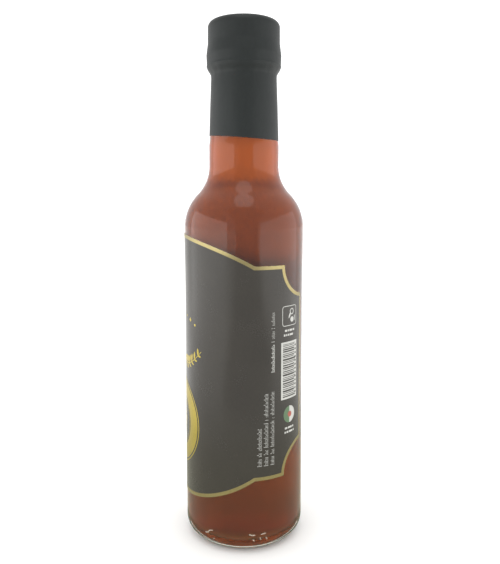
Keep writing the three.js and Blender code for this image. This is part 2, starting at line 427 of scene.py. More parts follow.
def surface_grain():
    """A node group: fine unevenness of a surface, as a value and a height, from the object's own place."""
    group = bpy.data.node_groups.get("Surface grain")
    if group:
        return group
    group = bpy.data.node_groups.new("Surface grain", "ShaderNodeTree")
    sockets = [
        ("Stretch", "INPUT", "NodeSocketVector"), ("Grain scale", "INPUT", "NodeSocketFloat"),
        ("Cloud scale", "INPUT", "NodeSocketFloat"), ("Low", "INPUT", "NodeSocketFloat"),
        ("High", "INPUT", "NodeSocketFloat"), ("Value", "OUTPUT", "NodeSocketFloat"),
        ("Height", "OUTPUT", "NodeSocketFloat")]
    for name, way, kind in sockets:
        group.interface.new_socket(name, in_out=way, socket_type=kind)
    add, link = group.nodes.new, group.links.new
    inside, outside = add("NodeGroupInput"), add("NodeGroupOutput")
    place, stretch = add("ShaderNodeTexCoord"), add("ShaderNodeVectorMath")
    stretch.operation = "MULTIPLY"
    grain, cloud = add("ShaderNodeTexNoise"), add("ShaderNodeTexNoise")
    set_sockets(grain, Detail=4.0, Roughness=0.6)
    set_sockets(cloud, Detail=2.0, Roughness=0.5)
    mix, spread = add("ShaderNodeMath"), add("ShaderNodeMapRange")
    mix.operation = "ADD"
    link(place.outputs["Object"], stretch.inputs[0])
    link(inside.outputs["Stretch"], stretch.inputs[1])
    for texture, scale in ((grain, "Grain scale"), (cloud, "Cloud scale")):
        link(stretch.outputs[0], texture.inputs["Vector"])
        link(inside.outputs[scale], texture.inputs["Scale"])
    link(grain.outputs[0], mix.inputs[0])
    link(cloud.outputs[0], mix.inputs[1])
    link(mix.outputs[0], spread.inputs["Value"])
    set_sockets(spread, From_Min=0.6, From_Max=1.4)  # what the two noises mostly add up to
    link(inside.outputs["Low"], spread.inputs["To Min"])
    link(inside.outputs["High"], spread.inputs["To Max"])
    link(spread.outputs[0], outside.inputs["Value"])
    link(grain.outputs[0], outside.inputs["Height"])
    return group


def add_grain(tree, stretch=(1, 1, 1), grain=2000.0, cloud=60.0, low=0.0, high=1.0):
    """Places the grain group in a material with its own values."""
    node = tree.nodes.new("ShaderNodeGroup")
    node.node_tree = surface_grain()
    set_sockets(node, Stretch=stretch, Grain_scale=grain, Cloud_scale=cloud, Low=low, High=high)
    return node


def vary_colour(tree, factor, first, second, target):
    """Mixes two colours by a value that changes over the surface."""
    mix = tree.nodes.new("ShaderNodeMix")
    mix.data_type = "RGBA"
    tree.links.new(factor, mix.inputs["Factor"])
    mix.inputs[6].default_value = first
    mix.inputs[7].default_value = second
    tree.links.new(mix.outputs[2], target)


def add_bump(tree, shader, height, strength, distance):
    """Relief of a surface, from a height that changes over it."""
    bump = tree.nodes.new("ShaderNodeBump")
    set_sockets(bump, Strength=strength, Distance=distance)
    tree.links.new(height, bump.inputs["Height"])
    tree.links.new(bump.outputs["Normal"], shader.inputs["Normal"])


def scaled(tint, factor):
    """A lighter or darker tone of a colour."""
    return (*[min(1.0, channel * factor) for channel in tint[:3]], 1.0)


def surface_material(name, tint, tones, tone_grain, sheen_grain=None, relief=None, **sockets):
    """A solid finish. Its colour varies between two tones of a tint, its roughness between the sheen
    grain's low and high, and its relief has a strength, a height and a grain of its own."""
    material, tree, shader, _ = new_material(name)
    set_sockets(shader, **sockets)
    tone = add_grain(tree, **tone_grain)
    first, second = [scaled(tint, factor) for factor in tones]
    vary_colour(tree, tone.outputs["Value"], first, second, shader.inputs["Base Color"])
    if sheen_grain:
        sheen = add_grain(tree, **sheen_grain)
        tree.links.new(sheen.outputs["Value"], shader.inputs["Roughness"])
    if relief:
        strength, distance, relief_grain = relief
        fine = add_grain(tree, **relief_grain)
        add_bump(tree, shader, fine.outputs["Height"], strength, distance)
    return material


def outer_glass_material(glass):
    """Clear glass with slow moulding waves."""
    material, tree, shader, _ = new_material("Clear bottle glass")
    set_sockets(
        shader, Base_Color=glass.tint, Metallic=0.0, Roughness=0.0, IOR=glass.refraction,
        Transmission_Weight=1.0)
    wander = add_grain(tree, grain=45.0, cloud=20.0)
    add_bump(tree, shader, wander.outputs["Height"], 0.06, 0.5 * MM)
    return material


def raised_glass_material(glass):
    """The small raised strokes are a little rough, and their pale colour is a painted highlight for the
    light they catch.
    """
    material, tree, shader, _ = new_material("Raised glass")
    set_sockets(shader, Metallic=0.0, Roughness=0.12, IOR=1.5, Transmission_Weight=0.5)
    # Painted highlight, brighter or dimmer at random
    glint_grain = add_grain(tree, grain=1500.0, cloud=300.0)
    vary_colour(
        tree, glint_grain.outputs["Value"], glass.painted_glint_dim, glass.painted_glint_bright, shader.inputs["Base Color"])
    return material


def inner_glass_material(glass):
    """The wetted face: it bends light but has no sheen of its own, as glass against a liquid has none."""
    material, _, shader, _ = new_material("Wetted bottle glass")
    set_sockets(
        shader, Base_Color=glass.wetted_tint, Metallic=0.0, Roughness=0.0, IOR=glass.refraction,
        Transmission_Weight=1.0, Specular_Tint=(0, 0, 0, 1))
    return material


def vinegar_material(vinegar):
    """Cloudy amber liquid that deepens with its thickness and has no sheen where it wets the glass."""
    material, tree, shader, output = new_material("Amber vinegar")
    set_sockets(
        shader, Base_Color=vinegar.haze, Metallic=0.0, Roughness=vinegar.cloud, IOR=vinegar.refraction,
        Transmission_Weight=vinegar.clarity, Specular_Tint=(0, 0, 0, 1))
    volume = tree.nodes.new("ShaderNodeVolumeAbsorption")
    set_sockets(volume, Color=vinegar.tint, Density=vinegar.depth)
    tree.links.new(volume.outputs[0], output.inputs["Volume"])
    return material


def film_material(capsule):
    """Matt film, a little drawn out along the bottle where it shrank."""
    return surface_material(
        "Matt shrink film", capsule.film, (0.85, 1.2),
        dict(stretch=(1, 1, 0.35), grain=700.0, cloud=90.0),
        dict(grain=1500.0, cloud=120.0, low=capsule.roughness - 0.05, high=capsule.roughness + 0.06),
        (0.25, 0.03 * MM, dict(stretch=(1, 1, 0.6), grain=3500.0, cloud=100.0)), IOR=1.39)


def label_face_material(label):
    """Black ink over the whole face, under a satin coat."""
    return surface_material(
        "Satin black print", label.black, (0.88, 1.14), dict(grain=1200.0, cloud=70.0),
        dict(grain=2500.0, cloud=90.0, low=0.21, high=0.29),
        (0.12, 0.02 * MM, dict(grain=5000.0, cloud=300.0)), IOR=1.5)


def label_paper_material(label):
    """The bare paper of the cut edge and the back."""
    fibre = dict(grain=4000.0, cloud=250.0)
    return surface_material(
        "Pale label paper", label.paper, (0.9, 1.05), fibre, relief=(0.3, 0.02 * MM, fibre),
        IOR=1.45, Roughness=0.8)


def foil_material(name, gold):
    """Hot-stamped metal, a little uneven in tone and sheen."""
    return surface_material(
        name, gold, (0.78, 1.2), dict(grain=1500.0, cloud=60.0),
        dict(grain=2600.0, cloud=160.0, low=0.26, high=0.42),
        (0.25, 0.02 * MM, dict(grain=3800.0, cloud=240.0)), Metallic=1.0)


def ink_material(name, tint):
    """Plain matt ink."""
    return surface_material(
        name, tint, (0.88, 1.1), dict(grain=3000.0, cloud=200.0), IOR=1.5, Roughness=0.45)


# Label artwork, laid out flat: distances along the label from its middle, and heights

def label_half_height(label, distance):
    """Half of the label's height at a distance from its middle: an arch, a level stretch and a notch."""
    along = abs(distance)
    if along <= label.arch_half_width:
        radius = (label.arch_half_width ** 2 + label.arch_rise ** 2) / (2 * label.arch_rise)
        return label.half_height + label.arch_rise - radius + math.sqrt(radius ** 2 - along ** 2)
    if along <= label.end - label.notch:
        return label.half_height
    return label.half_height - math.sqrt(max(0.0, label.notch ** 2 - (label.end - along) ** 2))


def label_stations(label):
    """Distances along the label where its mesh has a column of points."""
    level = label.end - label.notch
    turns = [math.pi / 2 * i / NOTCH_COLUMNS for i in range(NOTCH_COLUMNS + 1)]
    arch = [label.arch_half_width * i / ARCH_COLUMNS for i in range(ARCH_COLUMNS + 1)]
    flat = [blend(label.arch_half_width, level, i / LEVEL_COLUMNS) for i in range(1, LEVEL_COLUMNS)]
    notch = [label.end - label.notch * math.cos(turn) for turn in turns]
    half = arch + flat + notch
    return [-distance for distance in reversed(half[1:])] + half


def label_outline(label):
    """The label's edge as a closed loop without doubled points, anticlockwise from its lower left corner."""
    stations = label_stations(label)
    lower = [(s, label.middle - label_half_height(label, s)) for s in stations]
    upper = [(s, label.middle + label_half_height(label, s)) for s in reversed(stations)]
    loop = lower + upper
    return [point for i, point in enumerate(loop) if math.dist(point, loop[i - 1]) > TINY]


def inset(loop, width_at):
    """A loop moved inwards, by a width that depends on the ends of its edge."""
    count = len(loop)
    edges = []
    for i in range(count):
        (s0, z0), (s1, z1) = loop[i], loop[(i + 1) % count]
        run = math.hypot(s1 - s0, z1 - z0)
        edges.append(((z0 - z1) / run, (s1 - s0) / run, width_at(s0, s1)))
    moved = []
    for i in range(count):
        (a0, b0, w0), (a1, b1, w1) = edges[i - 1], edges[i]
        s, z = loop[i]
        cross = a0 * b1 - a1 * b0
        nearly_straight = abs(cross) < 0.02
        if nearly_straight:
            moved.append((s + a1 * w1, z + b1 * w1))
        else:
            moved.append((s + (w0 * b1 - w1 * b0) / cross, z + (a0 * w1 - a1 * w0) / cross))
    return moved


def strip(first, second, closed=False):
    """Flat faces between two rows of points."""
    count = len(first)
    points = list(first) + list(second)
    last = count if closed else count - 1
    faces = [(i, (i + 1) % count, count + (i + 1) % count, count + i) for i in range(last)]
    return points, faces


def bar(s0, z0, s1, z1):
    """A flat rectangle in millimetres, cut across so that it bends with the glass."""
    count = max(1, math.ceil(abs(s1 - s0)))
    along = [blend(s0, s1, i / count) for i in range(count + 1)]
    return strip([(s, z0) for s in along], [(s, z1) for s in along])


def oval(s, z, radius_s, radius_z, steps):
    """Points round an upright oval."""
    angles = [2 * math.pi * i / steps for i in range(steps)]
    return [(s + radius_s * math.cos(a), z + radius_z * math.sin(a)) for a in angles]


def ring(s, z, outer, inner, steps):
    """A flat ring in millimetres, cut into narrow rings so that it bends with the glass."""
    count = max(1, math.ceil(outer - inner))
    radii = [blend(outer, inner, k / count) for k in range(count + 1)]
    points = [point for radius in radii for point in oval(s, z, radius, radius, steps)]
    faces = []
    for k in range(count):
        for i in range(steps):
            j = (i + 1) % steps
            faces.append((k * steps + i, k * steps + j, (k + 1) * steps + j, (k + 1) * steps + i))
    return points, faces


def disc(s, z, radius, steps=20, radius_z=None):
    """A flat disc of wedges round its middle. With few steps it is a diamond."""
    points = [(s, z), *oval(s, z, radius, radius_z or radius, steps)]
    return points, [(0, 1 + i, 1 + (i + 1) % steps) for i in range(steps)]


def ribbon(points, widths):
    """A stroke along a line of points, with a width at each of them."""
    left, right = [], []
    last = len(points) - 1
    for i, ((s, z), width) in enumerate(zip(points, widths)):
        (s0, z0), (s1, z1) = points[max(0, i - 1)], points[min(last, i + 1)]
        run = math.hypot(s1 - s0, z1 - z0)
        across = (-(z1 - z0) / run * width / 2, (s1 - s0) / run * width / 2)
        left.append((s + across[0], z + across[1]))
        right.append((s - across[0], z - across[1]))
    return strip(right, left)


def curve_points(start, first, second, end, steps=24):
    """Points along a cubic curve."""
    points = []
    for i in range(steps + 1):
        t = i / steps
        weights = ((1 - t) ** 3, 3 * t * (1 - t) ** 2, 3 * t * t * (1 - t), t ** 3)
        points.append(tuple(
            sum(w * p[axis] for w, p in zip(weights, (start, first, second, end))) for axis in (0, 1)))
    return points


def thick(shapes, low, high):
    """Closed thin solids from flat shapes, as (along, height, lift) points and faces."""
    points, faces = [], []
    for flat_points, flat_faces in shapes:
        start, count = len(points), len(flat_points)
        points += [(s, z, lift) for lift in (low, high) for s, z in flat_points]
        edges = {}
        for face in flat_faces:
            following = face[1:] + face[:1]
            area = sum(
                flat_points[a][0] * flat_points[b][1] - flat_points[b][0] * flat_points[a][1]
                for a, b in zip(face, following))
            turn = face if area > 0 else face[::-1]
            faces.append([start + count + v for v in turn])
            faces.append([start + v for v in reversed(turn)])
            edges.update(dict.fromkeys(zip(turn, turn[1:] + turn[:1])))
        for a, b in edges:
            if (b, a) not in edges:
                faces.append([start + a, start + b, start + count + b, start + count + a])
    return points, faces


def wrapped(points, glass, label):
    """Lays (along, height, lift) points round the glass. The upper edge stands off a little."""
    arch_foot = label.middle + label.half_height
    laid = []
    for along, height, lift in points:
        rise = smooth(height, arch_foot + 0.6 * label.arch_rise, arch_foot + label.arch_rise)
        stand = label.lift * rise * math.exp(-(along / label.lift_reach) ** 2)
        radius = wall_radius(glass, height) + lift + stand
        angle = along / label.radius
        laid.append((radius * math.sin(angle), -radius * math.cos(angle), height))
    return laid


def lay_print(name, shapes, material, glass, label, layer):
    """A printed layer on the label: thin closed pieces that follow its face."""
    low, high = [label.outer + edge * MM for edge in layer]
    points, faces = thick(shapes, low, high)
    return make_piece(name, wrapped(points, glass, label), faces, [material])


def millimetres(shapes):
    """Shapes drawn in millimetres, in metres."""
    return [([(s * MM, z * MM) for s, z in points], faces) for points, faces in shapes]


def mirrored(shapes):
    """The same shapes on the other side of the label's middle."""
    return [([(-s, z) for s, z in points], faces) for points, faces in shapes]


def swung(s, z, turn, forward, aside):
    """A place forward and aside of (s, z), when forward is turned from the level."""
    return (
        s + forward * math.cos(turn) - aside * math.sin(turn),
        z + forward * math.sin(turn) + aside * math.cos(turn))


def leaf(s, z, size, width, turn, steps=14):
    """A pointed leaf from its stalk end."""
    left, right = [], []
    for i in range(steps + 1):
        share = i / steps
        half = width / 2 * math.sin(math.pi * share) ** 0.8 + 0.02
        left.append(swung(s, z, turn, share * size, half))
        right.append(swung(s, z, turn, share * size, -half))
    return strip(right, left)


def medallion_shapes():
    """A round frame with a bunch of grapes, in millimetres."""
    middle, grape_pitch, row_pitch = 51.0, 2.75, 2.4
    grapes_top = middle + 3.1
    rings = ((19.7, 19.15, 96), (18.5, 12.3, 96), (11.6, 11.25, 80))
    shapes = [ring(0, middle, outer, inner, steps) for outer, inner, steps in rings]
    for row, count in enumerate((4, 5, 4, 3, 2, 1)):
        for i in range(count):
            s = (i - (count - 1) / 2) * grape_pitch
            shapes.append(disc(s, grapes_top - row * row_pitch, 1.26, steps=18))
    for side in (1, -1):
        shapes.append(leaf(side * 0.9, middle + 5.2, 5.2, 2.6, math.pi / 2 - side * 1.05))
    stalk = curve_points((0, middle + 4.6), (0.2, middle + 6.5), (0.6, middle + 8), (1.8, middle + 9))
    shapes.append(ribbon(stalk, [0.7 - 0.012 * i for i in range(len(stalk))]))
    return shapes


def sprig_shapes():
    """A leafy sprig on each side above the medallion, and small diamonds over them, in millimetres."""
    stem = curve_points((2.2, 79.0), (8, 75.6), (14, 77.2), (21.2, 84.4), 30)
    half = [ribbon(stem, [0.75 - 0.018 * i for i in range(len(stem))])]
    first_leaf, leaf_pitch = 3, 4
    for i in range(first_leaf, len(stem) - 2, leaf_pitch):
        (s0, z0), (s1, z1) = stem[i - 1], stem[i + 1]
        heading = math.atan2(z1 - z0, s1 - s0)
        size = 5.6 - 0.09 * i
        half.append(leaf(*stem[i], size, 0.36 * size, heading + math.radians(52)))
        if i > first_leaf:
            half.append(leaf(*stem[i], 0.62 * size, 0.24 * size, heading - math.radians(48)))
    for i, place in enumerate(((4.4, 98.8), (8.7, 98.2), (12.9, 97.0), (16.9, 95.2))):
        half.append(disc(*place, 0.55, 12) if i % 2 else disc(*place, 1.0, 4))
    middle = [disc(0, 80.6, 1.5, 4, 2.1), disc(0, 99.1, 1.25, 4), disc(0, 76.6, 0.7, 14)]
    return half + mirrored(half) + middle


def upright_row(s0, s1, z0, groups, stroke=0.16):
    """A row of thin upright strokes that runs up the label, in groups, some of them short or broken."""
    stroke_pitch, group_gap = 0.56, 0.85
    starts = (0.0, 0.34, 0.34, 0.12, 0.34, 0.34, 0.34, 0.0, 0.34, 0.5, 0.34)
    shapes, z, index = [], z0, 0
    for group in groups:
        for _ in range(group):
            top = blend(s0, s1, starts[index % len(starts)])
            ends = [(top, s1)]
            if index % 3 == 1:
                ends = [(top, blend(top, s1, 0.36)), (blend(top, s1, 0.66), s1)]
            shapes += [bar(start, z, end, z + stroke) for start, end in ends]
            z += stroke_pitch
            index += 1
        z += group_gap
    return shapes


def level_row(s0, z, height, widths):
    """A row of small dashes round the bottle."""
    gap = 0.42
    shapes, s = [], s0
    for width in widths:
        shapes.append(bar(s, z - height / 2, s + width, z + height / 2))
        s += width + gap
    return shapes


def rounded_corners(s0, z0, s1, z1, radius, narrower):
    """Points round a rectangle with round corners, each corner's arc narrower by a width."""
    steps = 6
    points = []
    for s, z, quarter in ((s1, z1, 0), (s0, z1, 1), (s0, z0, 2), (s1, z0, 3)):
        centre_s = s + (-radius if s == s1 else radius)
        centre_z = z + (-radius if z == z1 else radius)
        for i in range(steps + 1):
            turn = math.pi / 2 * (quarter + i / steps)
            points.append(swung(centre_s, centre_z, turn, radius - narrower, 0.0))
    return points


def frame_shape(s0, z0, s1, z1, radius, width):
    """A rounded frame, cut across so that it bends with the glass."""
    outer = rounded_corners(s0, z0, s1, z1, radius, 0.0)
    inner = rounded_corners(s0, z0, s1, z1, radius, width)
    outer_row, inner_row = [], []
    for i in range(len(outer)):
        j = (i + 1) % len(outer)
        count = max(1, math.ceil(math.dist(outer[i], outer[j])))
        for k in range(count):
            for row, loop in ((outer_row, outer), (inner_row, inner)):
                row.append(tuple(blend(a, b, k / count) for a, b in zip(loop[i], loop[j])))
    return strip(outer_row, inner_row, closed=True)


def half_disc(s, z, radius, side, steps=14):
    """Half of a disc, on one side of its upright middle line."""
    low, high = [], []
    for i in range(steps + 1):
        out = radius * math.sin(math.pi / 2 * i / steps)
        half = math.sqrt(max(0.0, radius ** 2 - out ** 2)) + 0.005
        low.append((s + side * out, z - half))
        high.append((s + side * out, z + half))
    return strip(low, high)


def pale_shapes():
    """Small pale print, in millimetres: rows of marks, a pictogram and the striped panel's ground."""
    shapes = upright_row(52.95, 54.6, 76.9, (21,), 0.28)
    for s0, s1, foot, groups in (
            (52.95, 54.6, 89.6, (1, 6, 1, 10)),
            (46.7, 48.7, 37.5, (6, 3, 17)),
            (49.6, 51.6, 37.5, (7, 4, 19, 1, 18)),
            (52.6, 54.45, 37.5, (7, 4, 20, 1, 18))):
        shapes += upright_row(s0, s1, foot, groups)
    pictogram = [
        frame_shape(58.5, 95.4, 67.9, 104.0, 1.3, 0.28),
        disc(64.6, 98.0, 1.15),
        ring(64.4, 101.4, 1.35, 0.95, 24),
        leaf(62.3, 98.6, 3.0, 0.9, math.radians(62)),
        bar(66.2, 97.4, 66.6, 99.6),
    ]
    panel = bar(57.95, 64.15, 68.4, 88.7)
    shapes += [*pictogram, panel]
    for s0, height, size, widths in (
            (60.0, 93.5, 0.85, (1.3, 0.7, 1.9, 1.2)),
            (59.4, 91.6, 0.85, (0.9, 0.6, 0.8, 2.4)),
            (60.2, 51.5, 0.8, (1.5, 2.6, 0.8)),
            (60.0, 49.7, 0.8, (0.8, 1.1, 2.5, 0.7))):
        shapes += level_row(s0, height, size, widths)
    return shapes


def stripe_shapes():
    """Dark stripes over the pale panel, in millimetres. Their widths and gaps repeat every few stripes."""
    widths = (0.55, 0.3, 0.3, 0.75, 0.3, 0.45, 0.3, 0.6)
    gaps = (0.35, 0.5, 0.3, 0.4, 0.55, 0.3)
    start, end, long_end = 58.9, 66.4, 67.2
    foot, top, last_foot = 65.0, 87.8, 87.6
    tick_start, tick_end, tick_foot, tick_height, tick_pitch = 66.75, 67.85, 65.8, 0.7, 1.7
    shapes, z, i = [], foot, 0
    while z < last_foot:
        width = widths[i % len(widths)]
        is_long = i % 9 in (0, 1)
        shapes.append(bar(start, z, long_end if is_long else end, min(z + width, top)))
        z += width + gaps[i % len(gaps)]
        i += 1
    for k in range(13):
        z = tick_foot + k * tick_pitch
        shapes.append(bar(tick_start, z, tick_end, z + tick_height))
    return shapes


def badge_shapes():
    """The round badge's pale half, its green half and its dot, in millimetres."""
    middle, height, radius = 63.0, 57.3, 3.6
    return (
        half_disc(middle, height, radius, 1),
        half_disc(middle, height, radius, -1),
        disc(middle + 0.2, height, 1.25, 24))


# Operators

def settings(*names):
    """The values of the named groups, each read once."""
    groups = [getattr(bpy.context.scene, f"bottle_{name}") for name in names]
    return [
        SimpleNamespace(**{key: getattr(group, key) for key in group.__annotations__})
        for group in groups]


class MakeGlass(bpy.types.Operator):
    """Build the clear bottle, open at its mouth and slightly uneven inside"""
    bl_idname = "bottle.make_glass"
    bl_label = "Make Glass"

    def execute(self, context):
        [glass] = settings("glass")
        rim_edge = (glass.bore_radius + glass.mouth_ease, glass.mouth_height)
        profile = spaced(outside_profile(glass) + [rim_edge] + inside_profile(glass)[::-1], GLASS_STEP)
        rim = max(i for i, (_, height) in enumerate(profile) if height >= glass.mouth_height - TINY)
        first_inner = rim + 2

        def shape(angle, radius, height, index):
            face_shape = inner_shape if index >= first_inner else outer_shape
            return face_shape(glass, angle, radius, height)

        points, faces, stretches = turned(profile, BOTTLE_SIDES, shape)
        indices = [1 if stretch >= first_inner else 0 for stretch in stretches]
        make_piece(
            "bottle_glass", points, faces, [outer_glass_material(glass), inner_glass_material(glass)],
            "glass_bottle", indices)
        return {"FINISHED"}


def outer_shape(glass, angle, radius, height):
    """The outer face is nearly true, with slow waves between heel and neck."""
    if height < glass.heel_radius or height > glass.neck_top:
        return radius, height
    rising = smooth(height, glass.heel_radius, 3 * glass.heel_radius)
    fade = rising * (1 - smooth(height, glass.neck_bottom, glass.neck_top))
    return radius - glass.outer_wave * fade * (0.5 + wave(angle, height, 18 * MM, 3.0)), height


def inner_shape(glass, angle, radius, height):
    """The blown inner face wanders more than the outer one."""
    rising = smooth(height, glass.floor_edge, 3 * glass.floor_edge)
    fade = rising * (1 - smooth(height, glass.neck_bottom, glass.finish_bottom))
    return radius + glass.inner_wave * fade * wave(angle, height, 21 * MM, 11.0), height


# Each raised stroke as places (distance round the glass, height) in millimetres
HEEL_STROKES = (
    ((22.9, 6.7), (24.3, 7.0), (25.4, 8.2), (27.0, 8.6)),
    ((27.2, 5.3), (27.6, 5.0)),
    ((42.9, 8.6), (44.2, 8.1), (45.6, 8.2)),
    ((44.6, 6.3), (45.2, 5.5)),
    ((48.1, 8.2), (50.3, 8.4)),
    ((47.6, 6.9), (48.0, 5.8)),
    ((50.2, 6.6), (50.9, 5.6)),
)
BEAD_HALF_WIDTH = 0.3
BEAD_HEIGHT = 0.34
BEAD_SINK = 0.06
BEAD_SIDES = 8
BEAD_STEPS = 6


class MakeHeelMarks(bpy.types.Operator):
    """Raise a few small plain strokes on the glass near its base"""
    bl_idname = "bottle.make_heel_marks"
    bl_label = "Make Heel Marks"

    def execute(self, context):
        [glass] = settings("glass")
        points, faces = [], []
        for stroke in HEEL_STROKES:
            add_bead(points, faces, glass, stroke)
        make_piece("heel_marks", points, faces, [raised_glass_material(glass)])
        return {"FINISHED"}


def add_bead(points, faces, glass, stroke):
    """A half-round raised stroke on the heel that tapers to its ends."""
    line = []
    for (s0, z0), (s1, z1) in zip(stroke, stroke[1:]):
        shares = [i / BEAD_STEPS for i in range(BEAD_STEPS)]
        line += [(blend(s0, s1, share), blend(z0, z1, share)) for share in shares]
    line.append(stroke[-1])
    start, last = len(points), len(line) - 1
    for i, (s, z) in enumerate(line):
        (s0, z0), (s1, z1) = line[max(0, i - 1)], line[min(last, i + 1)]
        run = math.hypot(s1 - s0, z1 - z0)
        taper = 0.35 + 0.65 * math.sin(math.pi * (i + 0.6) / (last + 1.2)) ** 0.5
        for k in range(BEAD_SIDES):
            turn = math.pi * k / (BEAD_SIDES - 1)
            out = BEAD_HALF_WIDTH * math.cos(turn) * taper
            lift = BEAD_HEIGHT * math.sin(turn) * taper - BEAD_SINK
            points.append(on_heel(glass, s - (z1 - z0) / run * out, z + (s1 - s0) / run * out, lift))
    for i in range(last):
        for k in range(BEAD_SIDES):
            a, b = start + i * BEAD_SIDES + k, start + i * BEAD_SIDES + (k + 1) % BEAD_SIDES
            faces.append((a, b, b + BEAD_SIDES, a + BEAD_SIDES))
    faces.append([start + k for k in reversed(range(BEAD_SIDES))])
    faces.append([start + last * BEAD_SIDES + k for k in range(BEAD_SIDES)])


def on_heel(glass, along, height, lift):
    """A place on the glass near its base, from a distance, a height and a lift in millimetres."""
    angle, rise = along * MM / glass.base_radius, height * MM
    bearing = glass.base_radius - glass.heel_radius
    fall = max(0.0, glass.heel_radius - rise)
    radius, outwards = wall_radius(glass, rise), 1.0
    if fall:
        radius = bearing + math.sqrt(glass.heel_radius ** 2 - fall ** 2)
        outwards = (radius - bearing) / glass.heel_radius
    radius += lift * MM * outwards
    rise -= lift * MM * fall / glass.heel_radius
    return radius * math.sin(angle), -radius * math.cos(angle), rise


class MakeVinegar(bpy.types.Operator):
    """Fill the bottle with vinegar that reaches just into the glass wall"""
    bl_idname = "bottle.make_vinegar"
    bl_label = "Make Vinegar"

    def execute(self, context):
        glass, vinegar = settings("glass", "vinegar")
        flat_radius, flat_height = 0.6 * glass.bore_radius, vinegar.level - vinegar.meniscus
        profile = spaced(inside_profile(glass, vinegar.overlap, vinegar.level), GLASS_STEP)
        profile += [(flat_radius, flat_height), (0, flat_height)]

        def shape(angle, radius, height, index):
            return inner_shape(glass, angle, radius, height)

        points, faces, _ = turned(profile, BOTTLE_SIDES, shape)
        make_piece("vinegar_body", points, faces, [vinegar_material(vinegar)], "vinegar")
        return {"FINISHED"}


class MakeCapsule(bpy.types.Operator):
    """Build the shrink capsule with its pleats and its slightly askew hem"""
    bl_idname = "bottle.make_capsule"
    bl_label = "Make Capsule"

    def execute(self, context):
        glass, capsule = settings("glass", "capsule")
        inside = spaced(capsule_inside(glass, capsule), CAPSULE_BORE_STEP)
        outside = spaced(capsule_outside(capsule), CAPSULE_STEP)

        def shape(angle, radius, height, index):
            if index >= len(inside):
                return film_shape(capsule, angle, radius, height, film_relief(capsule, angle, height))
            return film_shape(capsule, angle, radius, height, 0.0)

        points, faces, _ = turned(inside + outside, CAPSULE_SIDES, shape)
        make_piece("shrink_capsule", points, faces, [film_material(capsule)], "capsule", sharp=60)
        return {"FINISHED"}


def film_middle(capsule):
    """Height halfway between the hem and the waist."""
    return (capsule.hem_height + capsule.waist_height) / 2


def capsule_inside(glass, capsule):
    """From the axis under the crown down to the hem."""
    bore_top = glass.mouth_height + capsule.cap_gap
    hem_share = (capsule.hem_height - glass.finish_foot) / (glass.finish_bottom - glass.finish_foot)
    hem_inside = blend(glass.finish_foot_radius, glass.finish_radius, hem_share) + capsule.film_gap
    return [
        (0, bore_top),
        (glass.finish_radius + capsule.cap_gap, bore_top),
        (glass.finish_radius + capsule.cap_gap, capsule.bulge_bottom),
        (glass.finish_radius + capsule.film_gap, glass.finish_bottom),
        (hem_inside, capsule.hem_height),
    ]


def capsule_outside(capsule):
    """From the hem up over the closure to the middle of the crown."""
    corner_radius = capsule.cap_radius - capsule.cap_corner
    corner_height = capsule.top - capsule.cap_crown - capsule.cap_corner
    return [
        (capsule.hem_radius - capsule.hem_ease / 2, capsule.hem_height),
        (capsule.hem_radius, capsule.hem_height + capsule.hem_ease),
        (capsule.middle_radius, film_middle(capsule)),
        *film_step(capsule),
        (capsule.cap_radius, capsule.cap_bottom),
        (capsule.cap_radius, corner_height),
        *arc(corner_radius, corner_height, capsule.cap_corner, 0, math.pi / 2, CORNER_STEPS),
        (corner_radius / 2, capsule.top - capsule.cap_crown / 4),
        (0, capsule.top),
    ]


def film_step(capsule):
    """The film's rounded step from the waist out over the closure's band, with a small ridge at its foot."""
    waist, bulge = capsule.waist_radius, capsule.bulge_foot
    low, high = capsule.waist_height, capsule.bulge_bottom
    steps = 12
    points = [(waist + 0.02 * MM, low - 1.2 * MM)]
    for share in (i / steps for i in range(steps + 1)):
        points.append((blend(waist, bulge, smooth(share, -0.1, 1.1)), blend(low, high, share)))
    for out, rise in ((0.1, 0.2), (0.14, 0.5), (0.03, 1.0)):
        points.append((bulge + out * MM, high + rise * MM))
    return points + [(capsule.bulge_radius, capsule.bulge_top)]


def film_shape(capsule, angle, radius, height, relief):
    """The hem's slant and uneven cut, which fade out halfway up the film, and the film's relief."""
    x, y = radius * math.sin(angle), -radius * math.cos(angle)
    above = (height - capsule.hem_height) / (film_middle(capsule) - capsule.hem_height)
    share = 1 - min(1.0, max(0.0, above))
    waves_per_metre, seed = 120, 5.0
    fall = capsule.hem_fall_x * x + capsule.hem_fall_y * y
    fall += capsule.hem_wave * noise.noise(Vector((x * waves_per_metre, y * waves_per_metre, seed)))
    return radius + relief, height - share * fall


def film_relief(capsule, angle, height):
    """Fine pleats under the closure and slow dimples elsewhere."""
    pleat_middle, pleat_reach = capsule.waist_height + 1 * MM, 2.6 * MM
    near_step = math.exp(-((height - pleat_middle) / pleat_reach) ** 2)
    relief = near_step * round_noise(angle, height, 7, 160) + 0.35 * round_noise(angle, height, 1.6, 70)
    return capsule.pleat * relief - 0.02 * MM


class MakeLabel(bpy.types.Operator):
    """Wrap the black label round the glass"""
    bl_idname = "bottle.make_label"
    bl_label = "Make Label"

    def execute(self, context):
        glass, label = settings("glass", "label")
        stations = label_stations(label)
        column = LABEL_ROWS + 1
        flat, cells = [], []
        for s in stations:
            half = label_half_height(label, s)
            flat += [(s, label.middle + half * (2 * j / LABEL_ROWS - 1)) for j in range(column)]
        for i in range(len(stations) - 1):
            for j in range(LABEL_ROWS):
                a = i * column + j
                cells.append((a, a + column, a + column + 1, a + 1))
        points, faces = thick([(flat, cells)], -label.inner, label.outer)
        indices = [0 if min(face) >= len(flat) else 1 for face in faces]
        make_piece(
            "label_sheet", wrapped(points, glass, label), faces,
            [label_face_material(label), label_paper_material(label)], "label", indices)
        return {"FINISHED"}


